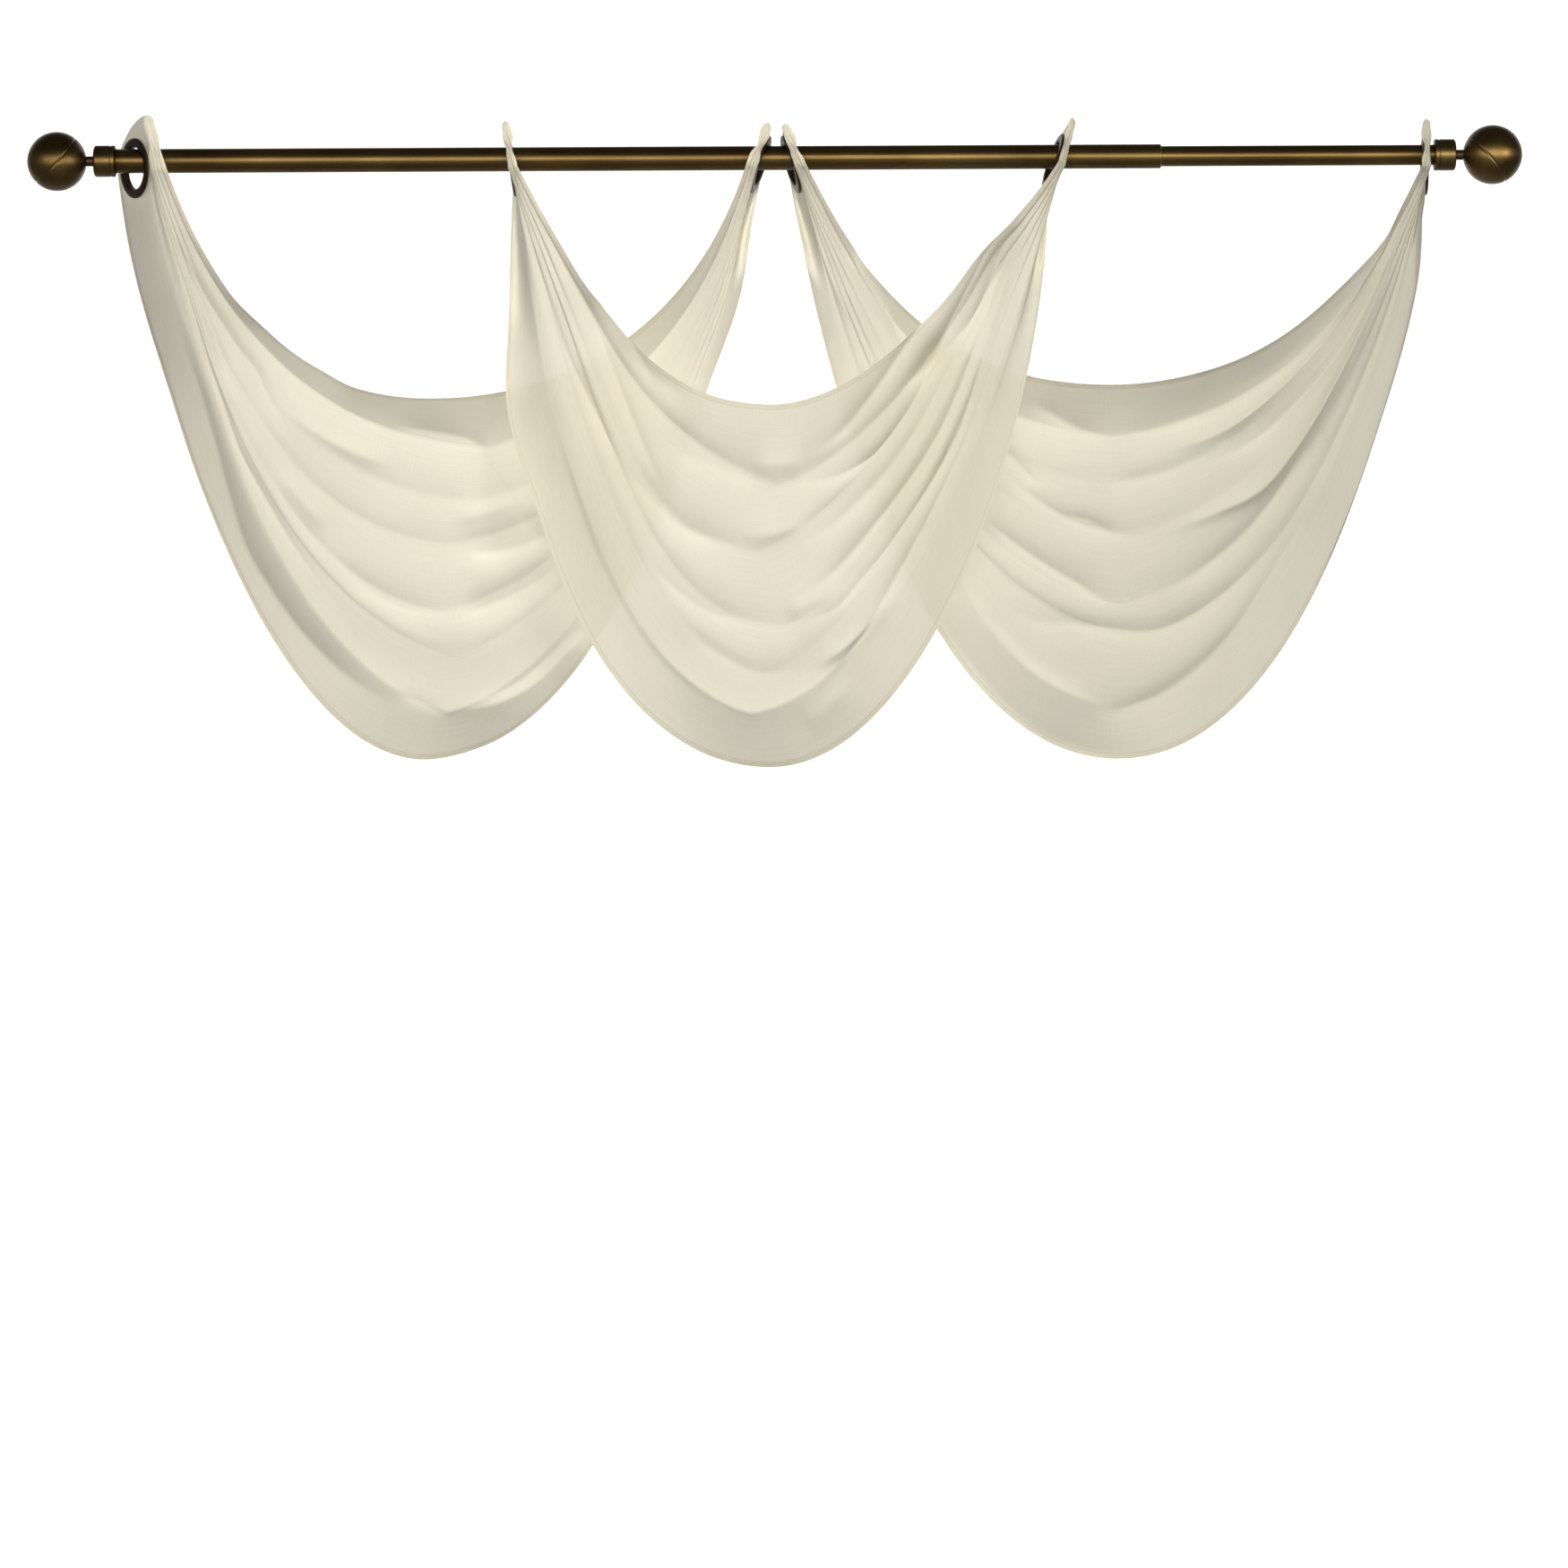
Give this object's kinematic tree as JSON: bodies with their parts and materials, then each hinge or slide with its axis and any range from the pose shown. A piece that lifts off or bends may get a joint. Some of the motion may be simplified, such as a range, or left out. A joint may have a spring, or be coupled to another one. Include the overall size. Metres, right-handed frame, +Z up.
{
  "type": "swag valance on curtain rod",
  "caption": "Sheer ecru swags with deep curved folds, hung side by side by metal eyelets from a telescoping bronze curtain rod with ball finials.",
  "frame": {"origin": "on the rod's axis at the middle of its length", "axes": "+X along the rod to the viewer's right, +Y away from the viewer towards the wall, +Z up"},
  "size_m": [1.543, 0.1179, 0.6737],
  "materials": {
    "bronze": "brushed antique bronze",
    "dark_bronze": "satin dark bronze",
    "voile": "sheer plain weave"
  },
  "bodies": {
    "root": {"rod_wide_tube": "bronze", "rod_thin_tube": "bronze", "left_collar": "bronze", "left_neck": "dark_bronze", "left_ball": "bronze", "right_collar": "bronze", "right_neck": "dark_bronze", "right_ball": "bronze", "swag_left": "voile", "swag_left_eyelet_left_face": "dark_bronze", "swag_left_eyelet_left_back": "dark_bronze", "swag_left_eyelet_right_face": "dark_bronze", "swag_left_eyelet_right_back": "dark_bronze", "swag_centre": "voile", "swag_centre_eyelet_left_face": "dark_bronze", "swag_centre_eyelet_left_back": "dark_bronze", "swag_centre_eyelet_right_face": "dark_bronze", "swag_centre_eyelet_right_back": "dark_bronze", "swag_right": "voile", "swag_right_eyelet_left_face": "dark_bronze", "swag_right_eyelet_left_back": "dark_bronze", "swag_right_eyelet_right_face": "dark_bronze", "swag_right_eyelet_right_back": "dark_bronze"}
  },
  "joints": []
}
